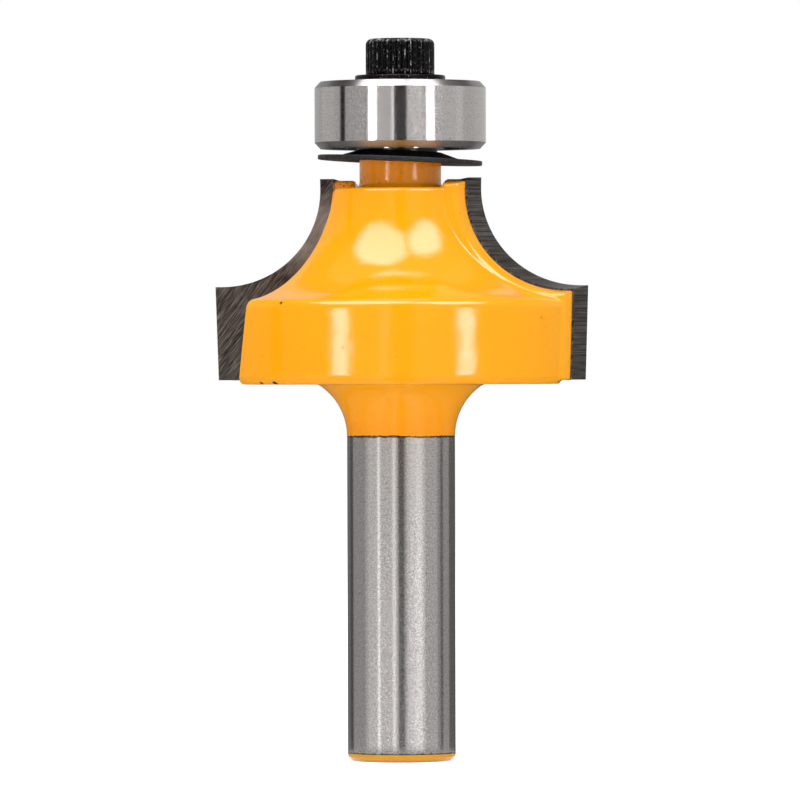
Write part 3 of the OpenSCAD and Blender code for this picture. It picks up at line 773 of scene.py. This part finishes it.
def make_chip_shield():
    """Dished sheet with eased edges, at the tilt at which it lies loose."""
    sheet, rise = 0.34, 0.52
    outline = eased([
        (2.9, 0), (3.0, 0), (4.5, -rise), (6.1, -rise),
        (6.1, -rise + sheet), (4.6, -rise + sheet), (3.0, sheet), (2.9, sheet),
    ], 0.07)
    vertices, faces = lathe(outline)
    vertices[:, 2] -= sheet / 2
    turn = Matrix.Rotation(math.radians(CHIP_SHIELD_TURN), 3, "Z")
    tilt = Matrix.Rotation(math.radians(CHIP_SHIELD_TILT), 3, "X")
    vertices = vertices @ np.array(turn @ tilt).T + np.array([0, 0, (STEM_TOP_Z + BEARING_Z) / 2])
    dish = link("chip_shield_dish", vertices, faces, "cutter", SHEET_BLACK, ["chip_shield"])
    sharpen(dish, 50)


def make_bearing():
    """Both rings and both shields, turned finely enough for their highlights."""
    half = BEARING_W / 2
    seal_z = half - SEAL_INSET
    seal_top_z = seal_z + SEAL_T
    bevel, bore_round, inner_rim = 0.42, 0.15, 49.5

    def ring(name, outline, body, node):
        spun(name, outline, BEARING_MID_Z, body, "bearing_steel", BEARING_STEEL, node, 28)

    groove_r, groove_top_z = RECESS_R + 0.12, seal_top_z + 0.32
    outer = [
        (OUTER_LAND_R, seal_z), (RECESS_R, seal_z), (RECESS_R, seal_top_z), (groove_r, seal_top_z),
        (groove_r, groove_top_z), (RECESS_R, groove_top_z), (RECESS_R, half), (GUIDE_R - bevel, half),
        (GUIDE_R - 0.05, half - bevel + 0.02), (GUIDE_R, half - bevel - 0.06),
    ]
    outer += [(r, -z) for r, z in reversed(outer)]
    outer_rim = math.degrees(math.acos((OUTER_LAND_R - PITCH_R) / GROOVE_R))
    ball_groove = arc((PITCH_R, 0), GROOVE_R, -outer_rim, outer_rim, 16)
    ring("bearing_outer", ball_groove + outer, "guide_ring", "bearing_outer_ring")

    inner = arc((BORE_R + bore_round, half - bore_round), bore_round, 180, 90, 3)
    inner += [(3.25, half), (3.25, seal_z - 0.02), (INNER_LAND_R, seal_z - 0.02)]
    ball_groove = arc((PITCH_R, 0), GROOVE_R, 180 - inner_rim, 180 + inner_rim, 16)
    inner += ball_groove + [(r, -z) for r, z in reversed(inner)]
    ring("bearing_inner", inner, "cutter", "bearing_inner_ring")

    step = 0.12
    shield = eased([
        (5.53, seal_z), (5.53, seal_top_z), (5.05, seal_top_z), (4.93, seal_top_z + step),
        (3.35, seal_top_z + step), (3.35, seal_z + step), (4.93, seal_z + step), (5.05, seal_z),
    ], 0.05, 2)
    for name, side in (("upper", 1), ("lower", -1)):
        vertices, faces = lathe(shield, 192)
        vertices[:, 2] = BEARING_MID_Z + side * vertices[:, 2]
        faces = faces if side > 0 else [f[::-1] for f in faces]
        node = f"bearing_shield_{name}"
        link(f"pressed_shield_{name}", vertices, faces, "guide_ring", SHIELD_STEEL, [node])


def make_washer():
    """Washer with its edges rounded."""
    outline = eased([
        (WASHER_HOLE_R, 0), (WASHER_R, 0), (WASHER_R, WASHER_T), (WASHER_HOLE_R, WASHER_T),
    ], 0.16, 4)
    spun("washer", outline, BEARING_TOP_Z, "cutter", "black_steel", WASHER_BLACK, "screw_washer", segments=192)


def polar(rings, segments):
    """Vertices and faces of a stack of rings, each a function from angles to radii and heights."""
    angles = np.arange(segments) * 2 * math.pi / segments
    vertices = []
    for ring in rings:
        radius, height = ring(angles)
        radius, height = radius + 0 * angles, height + 0 * angles
        vertices.append(np.stack([radius * np.cos(angles), radius * np.sin(angles), height], axis=-1))
    return np.concatenate(vertices), bands(len(rings), segments)


def make_screw():
    """Knurled socket head and threaded shaft."""
    rounding, rim = 0.45, 0.3
    per_knurl = 12

    def knurled(radius, height, share):
        def ring(angles):
            wave = np.abs(np.sin(KNURLS * angles / 2)) ** 0.8
            return radius - KNURL_DEPTH * share * (1 - wave), height
        return ring

    def hexagon(height, blend=0, radius=0):
        def ring(angles):
            turned = (angles + math.pi / 6) % (math.pi / 3) - math.pi / 6
            flat = SOCKET_AF / 2 / np.cos(turned)
            return flat * (1 - blend) + radius * blend, height
        return ring

    top = SCREW_HEAD_H
    floor = top - SOCKET_DEPTH
    rings = [knurled(*row) for row in (
        (1.4, 0, 0), (SCREW_HEAD_R - 0.12, 0, 0), (SCREW_HEAD_R - 0.03, 0.04, 0), (SCREW_HEAD_R, 0.1, 0),
        (SCREW_HEAD_R, rim - 0.04, 0), (SCREW_HEAD_R - 0.01, rim + 0.02, 0.5), (SCREW_HEAD_R, rim + 0.12, 1),
    )]
    rings += [knurled(SCREW_HEAD_R, z, 1) for z in np.linspace(rim + 0.2, top - rounding, 6)]
    for r, z in arc((SCREW_HEAD_R - rounding, top - rounding), rounding, 10, 90, 7):
        rings.append(knurled(r, z, min(1, (top - z) / rounding * 1.1)))
    rings.append(knurled(1.75, top, 0))
    rings += [hexagon(top, 0.35, 1.65), hexagon(top - 0.12), hexagon(top - 0.4), hexagon(floor)]
    rings += [hexagon(floor - 0.24, 1, 0.62), hexagon(floor - 0.48, 1, ON_AXIS)]
    vertices, faces = polar(rings, KNURLS * per_knurl)
    vertices[:, 2] += SCREW_HEAD_Z
    head = link("screw_head", vertices, faces, "cutter", SCREW_BLACK, ["cap_screw"])
    sharpen(head, 40)

    pitch, depth, crest_r, lead = 0.5, 0.27, 1.5, 0.3

    def threaded(height):
        def ring(angles):
            phase = (height / pitch - angles / (2 * math.pi)) % 1
            crest = np.clip(np.abs(phase - 0.5) * 2 * 1.25 - 0.12, 0, 1)
            fade = np.clip(height / 0.5, 0.0, 1.0)
            return crest_r - lead * (1 - fade) - depth * (1 - crest) * fade, height
        return ring

    shaft = [threaded(z) for z in np.arange(0, SCREW_LEN + 0.04, pitch / 8)]
    shaft = [lambda angles: (ON_AXIS, 0.0)] + shaft
    vertices, faces = polar(shaft, 48)
    vertices[:, 2] += SCREW_HEAD_Z - SCREW_LEN
    link("screw_thread", vertices, faces, "cutter", SCREW_BLACK, ["cap_screw"])


def make_braze_beads():
    """A fine uneven bead along the inner edge and the ground-off corner of each tip."""
    for side in (1, -1):
        corners = [
            (-TIP_INNER_X, TIP_TOP_Z - 0.1),
            (-TIP_INNER_X, TIP_BOTTOM_Z + TIP_CORNER),
            (-TIP_INNER_X - TIP_CORNER, TIP_BOTTOM_Z + 0.05),
        ]
        route = []
        for (x0, z0), (x1, z1) in zip(corners, corners[1:]):
            count = max(4, int(math.hypot(x1 - x0, z1 - z0) / 0.25))
            route += [(x0 + (x1 - x0) * k / count, z0 + (z1 - z0) * k / count) for k in range(count)]
        route.append(corners[-1])
        rows, around = len(route), 10
        vertices = []
        for i, (x, z) in enumerate(route):
            size = 0.085 * (1 + 0.25 * math.sin(i * 1.7) + 0.15 * math.sin(i * 0.61))
            size *= min(1, (i + 1) / 3, (rows - i) / 3)
            y = RAKE_OFFSET + (TIP_TOP_Z - z) * SHEAR + TIP_PROUD * 0.8
            for k in range(around):
                a = 2 * math.pi * k / around
                vertices.append((side * (x + size * math.cos(a)), side * (y + size * math.sin(a)), z))
        faces = bands(rows, around)
        faces += [tuple(range(around))[::-1], tuple(range((rows - 1) * around, rows * around))]
        link(f"braze_bead_{1 if side > 0 else 2}", vertices, faces, "cutter", BRAZE)


def dress(node, material, sharp_degrees):
    """Gives a CAD node its finish, with smooth shading between its sharp edges."""
    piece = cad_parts[node]
    piece.data.materials.clear()
    piece.data.materials.append(material)
    if "custom_normal" in piece.data.attributes:
        piece.data.attributes.remove(piece.data.attributes["custom_normal"])
    piece.data.shade_smooth()
    weld = piece.modifiers.new("weld", "WELD")
    weld.merge_threshold = 1e-6
    sharpen(piece, sharp_degrees)


make_head()
make_foot()
make_shank()
make_chip_shield()
make_bearing()
make_washer()
make_screw()
make_braze_beads()
for tip in ("carbide_tip_1", "carbide_tip_2"):
    dress(tip, CARBIDE, 24)
for i in range(1, 8):
    dress(f"ball_{i}", BALL_STEEL, 60)
for cage_node in ("cage_lower", "cage_upper", "cage_rivets"):
    dress(cage_node, CAGE_STEEL, 30)
for ring_node in ("snap_ring_lower", "snap_ring_upper"):
    dress(ring_node, SHIELD_STEEL, 40)


# Camera and light

def place_of(azimuth, elevation, distance, height):
    """Point in metres at a distance from the axis. Azimuth 0 is towards -Y and 90 towards +X."""
    a, e = math.radians(azimuth), math.radians(elevation)
    reach = distance * math.cos(e)
    return Vector((reach * math.sin(a), -reach * math.cos(a), height + distance * math.sin(e)))


CAMERA_AZIMUTH = 6.84
CAMERA_DISTANCE = 0.5930
CAMERA_HEIGHT = 0.0295
LENS = 360.0
AXIS_PIXEL_X = 400.95
HORIZON_PIXEL_Y = 362.4
CAMERA_ROLL = -0.15
PIXELS = 800
SENSOR = 36.0


def make_camera():
    """Camera that puts the axis and the horizon where the photo has them."""
    data = bpy.data.cameras.new("camera")
    data.lens = LENS
    data.sensor_width = SENSOR
    data.clip_start, data.clip_end = 0.01, 20.0
    camera = put("camera", data)
    camera.location = place_of(CAMERA_AZIMUTH, 0, CAMERA_DISTANCE, CAMERA_HEIGHT)
    focal = LENS / SENSOR * PIXELS
    turn = math.atan((AXIS_PIXEL_X - PIXELS / 2) / focal)
    drop = math.atan((PIXELS / 2 - HORIZON_PIXEL_Y) / focal)
    aim = Euler((math.pi / 2 - drop, 0, math.radians(CAMERA_AZIMUTH) + turn)).to_matrix()
    camera.rotation_euler = (aim @ Matrix.Rotation(math.radians(CAMERA_ROLL), 3, "Z")).to_euler()
    bpy.context.scene.camera = camera


def empty_tree(owner):
    """The node tree of a world or a material, without its first nodes."""
    owner.use_nodes = True
    owner.node_tree.nodes.clear()
    return owner.node_tree


def glow(name, strength):
    """White light of an even strength."""
    made = bpy.data.materials.new(name)
    tree = empty_tree(made)
    emission = tree.nodes.new("ShaderNodeEmission")
    emission.inputs["Color"].default_value = (1, 1, 1, 1)
    emission.inputs["Strength"].default_value = strength
    output = tree.nodes.new("ShaderNodeOutputMaterial")
    tree.links.new(emission.outputs[0], output.inputs["Surface"])
    return made


# Studio panels round the part: azimuths from the camera's side, and strength
UPPER_PANELS = (
    (-180, -130, 0.48), (-130, -100, 0.56), (-100, -88, 0.5), (-88, -79.5, 0), (-79.5, -50, 0.48),
    (-50, -30, 0.38), (-30, -23, 0.55), (-23, -12, 0.52), (-12, -8.7, 0.9), (-8.7, 8.6, 0),
    (8.6, 30, 0.7), (30, 50, 0.52), (50, 58, 0.66), (58, 80, 0.62), (80, 93, 0.69), (93, 120, 0.55),
    (120, 180, 0.58),
)
LOWER_PANELS = (
    (-180, -134.6, 0.16), (-134.6, -120.9, 0.08), (-120.9, -80.2, 0.31), (-80.2, -72.5, 0.47),
    (-72.5, -57.1, 0.61), (-57.1, -49.5, 0.62), (-49.5, -44.7, 1.28), (-44.7, -18.1, 0.58),
    (-18.1, -11.4, 0.97), (-11.4, -6.2, 0.53), (-6.2, 6.2, 0.13), (6.2, 11.4, 0.4), (11.4, 18.1, 0.65),
    (18.1, 30.4, 0.77), (30.4, 43.8, 0.92), (43.8, 49.5, 0.69), (49.5, 80.2, 0.47), (80.2, 88.8, 0.3),
    (88.8, 96.6, 0.12), (96.6, 118.9, 0.32), (118.9, 144.5, 0.12), (144.5, 180, 0.1),
)
BEHIND = 110  # middle azimuth from which a panel counts as behind

# Edges of the panels, in metres
LOWER_TOP = 0.0270
LOWER_REACH = 0.04
UPPER_REACH = 0.40
UPPER_START = 0.045
UPPER_TOP = 0.30
CEILING_REACH = 0.45
CEILING_TOP = 0.60
SHADE_REACH = 0.023
FOOT_REACH = 0.006
FOOT_START = 0.0042
STRIP_REACH = 0.39
STRIP_TOP = 0.044
OVER_FLOOR = 0.0002
FAR_FLOOR = 0.0003
NEAR_OUTLINE = ((LOWER_REACH, FAR_FLOOR), (UPPER_REACH, FAR_FLOOR), (UPPER_REACH, UPPER_START))
FLOOR_OUTLINE = [(reach, OVER_FLOOR) for reach in (FOOT_REACH, 0.009, 0.015, 0.025, LOWER_REACH)]

# Shares of a strength
NEAR_SHARE = 0.63
HIGH_SHARE = 0.5
HIGH_SHARE_BEHIND = 0.2
SHADE_SHARE = 1.1
FLOOR_SHARE = 1.15

# Lamps, in metres
AIM_HEIGHT = 0.033
HIGHLIGHT_DISTANCE = 0.32
FILL_DISTANCE = 0.6
FILL_SIZE = 0.35


def stage_card(name, vertices, faces, material):
    """A card that only mirrors see."""
    mesh = bpy.data.meshes.new(name)
    mesh.from_pydata(vertices, [], faces)
    mesh.materials.append(material)
    made = put(name, mesh)
    made.visible_camera = made.visible_diffuse = made.visible_shadow = False
    made.visible_transmission = made.visible_volume_scatter = False
    return made


def straight_on(azimuth, distance):
    """Azimuth at which a ray that the shank mirrors to azimuth at LOWER_REACH passes distance."""
    if abs(azimuth) > 170:
        return azimuth
    shank, turn = SHANK_R * MM, math.radians(azimuth)
    surface = turn / 2
    for _ in range(8):
        surface = (turn + math.asin(shank * math.sin(surface) / LOWER_REACH)) / 2
    return math.degrees(2 * surface - math.asin(shank * math.sin(surface) / distance))


def panel(name, start, end, outline, strength, straight=False):
    """A stretch of a folded screen round the part; its outline is given as (distance, height)."""
    steps = max(2, int(abs(end - start) / 3))
    vertices, faces = [], []
    for k in range(steps + 1):
        azimuth = start + (end - start) * k / steps
        for distance, height in outline:
            turn = straight_on(azimuth, distance) if straight else azimuth
            vertices.append(tuple(place_of(CAMERA_AZIMUTH + turn, 0, distance, height)))
    rows = len(outline)
    for k in range(steps):
        for i in range(rows - 1):
            low, high = k * rows + i, (k + 1) * rows + i
            faces.append((low, high, high + 1, low + 1))
    stage_card(name, vertices, faces, glow(name, strength))


def area_lamp(name, azimuth, elevation, distance, width, height, watts, aim=AIM_HEIGHT):
    """A soft lamp that lights surfaces but isn't mirrored by them."""
    data = bpy.data.lights.new(name, "AREA")
    data.shape = "ELLIPSE"
    data.size, data.size_y, data.energy = width, height, watts
    lamp = put(name, data)
    target = Vector((0, 0, aim))
    lamp.location = target + place_of(CAMERA_AZIMUTH + azimuth, elevation, distance, 0)
    lamp.rotation_euler = (lamp.location - target).to_track_quat("Z", "Y").to_euler()
    lamp.visible_glossy = False
    return lamp


def highlight(name, azimuth, elevation, width, height, watts, mirrored, rim, aim=AIM_HEIGHT):
    """A lamp with a soft-rimmed diffuser, which glossy surfaces mirror as a clear highlight."""
    lamp = area_lamp(name, azimuth, elevation, HIGHLIGHT_DISTANCE, width, height, watts, aim)
    finish = Finish(f"{name}_diffuser")
    flat = finish.vector("MULTIPLY", finish.coordinates.outputs["Object"], (2 / width, 2 / height, 0))
    strength = finish.spread(finish.length(flat), 1 - rim, 1.0, mirrored, 0.0)
    finish.set(Base_Color=(0, 0, 0, 1), Roughness=1.0, Specular_IOR_Level=0.0)
    finish.set(Emission_Color=(1, 0.955, 1.04, 1), Emission_Strength=strength)
    angles = [2 * math.pi * k / 48 for k in range(48)]
    rim_points = [(width / 2 * math.cos(a), height / 2 * math.sin(a), 0) for a in angles]
    diffuser = stage_card(f"{name}_diffuser", rim_points, [tuple(range(48))], finish.material)
    diffuser.location, diffuser.rotation_euler = lamp.location, lamp.rotation_euler


def backdrop_mix(tree, plain, seen):
    """Shows one shader to camera, glossy and transmission rays and the other to the rest."""
    path = tree.nodes.new("ShaderNodeLightPath")
    share = path.outputs["Is Camera Ray"]
    for ray in ("Is Glossy Ray", "Is Transmission Ray"):
        either = tree.nodes.new("ShaderNodeMath")
        either.operation = "MAXIMUM"
        tree.links.new(share, either.inputs[0])
        tree.links.new(path.outputs[ray], either.inputs[1])
        share = either.outputs[0]
    mixed = tree.nodes.new("ShaderNodeMixShader")
    tree.links.new(share, mixed.inputs[0])
    tree.links.new(plain, mixed.inputs[1])
    tree.links.new(seen, mixed.inputs[2])
    return mixed.outputs[0]


def make_world(ambient):
    """Plain ambient light, which cameras and mirrors see as white."""
    world = bpy.data.worlds.new("studio")
    bpy.context.scene.world = world
    tree = empty_tree(world)
    lights = []
    for strength in (ambient, 1.0):
        light = tree.nodes.new("ShaderNodeBackground")
        light.inputs["Color"].default_value = (1, 1, 1, 1)
        light.inputs["Strength"].default_value = strength
        lights.append(light.outputs[0])
    output = tree.nodes.new("ShaderNodeOutputWorld")
    tree.links.new(backdrop_mix(tree, *lights), output.inputs["Surface"])


def make_floor(glow_share):
    """Pale floor that shows white, and keeps the soft shadow of the part."""
    made = bpy.data.materials.new("floor")
    tree = empty_tree(made)
    diffuse = tree.nodes.new("ShaderNodeBsdfDiffuse")
    diffuse.inputs["Color"].default_value = (0.8, 0.8, 0.8, 1)
    lift = tree.nodes.new("ShaderNodeEmission")
    lift.inputs["Strength"].default_value = glow_share
    lit = tree.nodes.new("ShaderNodeAddShader")
    tree.links.new(diffuse.outputs[0], lit.inputs[0])
    tree.links.new(lift.outputs[0], lit.inputs[1])
    output = tree.nodes.new("ShaderNodeOutputMaterial")
    tree.links.new(backdrop_mix(tree, diffuse.outputs[0], lit.outputs[0]), output.inputs["Surface"])
    half = 3.0
    corners = [(-half, -half, 0), (half, -half, 0), (half, half, 0), (-half, half, 0)]
    mesh = bpy.data.meshes.new("floor")
    mesh.from_pydata(corners, [], [(0, 1, 2, 3)])
    mesh.materials.append(made)
    floor = put("floor", mesh)


make_camera()
make_world(0.49)
make_floor(0.64)
highlight("side_left", -37.3, 0, 0.071, 0.049, 0.04, 11.8, 0.18, aim=0.0333)
highlight("side_right", 40.8, 0, 0.067, 0.049, 0.04, 12.6, 0.22, aim=0.0333)
highlight("top_left", -38.5, 63, 0.32, 0.30, 0.46, 9.5, 0.28)
highlight("top_right", 43.5, 55.5, 0.24, 0.25, 0.27, 11.0, 0.42)
for name, azimuth, elevation, watts in (
    ("front_fill", 0, 0, 0.9), ("top_fill", 180, 75, 0.45),
    ("back_left", -140, 30, 0.8), ("back_right", 140, 30, 0.8),
):
    area_lamp(name, azimuth, elevation, FILL_DISTANCE, FILL_SIZE, FILL_SIZE, watts)
for number, (start, end, strength) in enumerate(UPPER_PANELS):
    upper = ((UPPER_REACH, UPPER_START), (UPPER_REACH, UPPER_TOP))
    high = ((UPPER_REACH, UPPER_TOP), (CEILING_REACH, CEILING_TOP))
    high_share = HIGH_SHARE if abs(start + end) / 2 < BEHIND else HIGH_SHARE_BEHIND
    panel(f"near_panel_{number}", start, end, NEAR_OUTLINE, NEAR_SHARE * strength)
    panel(f"upper_panel_{number}", start, end, upper, strength)
    panel(f"high_panel_{number}", start, end, high, high_share * strength)
for number, (start, end, strength) in enumerate(LOWER_PANELS):
    screen = ((LOWER_REACH, OVER_FLOOR), (LOWER_REACH, LOWER_TOP))
    shade = ((SHADE_REACH, LOWER_TOP), (LOWER_REACH, LOWER_TOP))
    panel(f"lower_panel_{number}", start, end, screen, strength)
    panel(f"shade_panel_{number}", start, end, shade, SHADE_SHARE * strength, True)
    panel(f"floor_panel_{number}", start, end, FLOOR_OUTLINE, FLOOR_SHARE * strength, True)
panel("strip_panel", -10.6, -8.4, ((STRIP_REACH, FAR_FLOOR), (STRIP_REACH, STRIP_TOP)), 2.4)
panel("foot_panel", -180, 180, ((FOOT_START, OVER_FLOOR), (FOOT_REACH, OVER_FLOOR)), 0.38)
panel("ceiling_panel", -180, 180, ((0.001, CEILING_TOP), (CEILING_REACH, CEILING_TOP)), 0.42)

view = bpy.context.scene.view_settings
view.view_transform = "Standard"
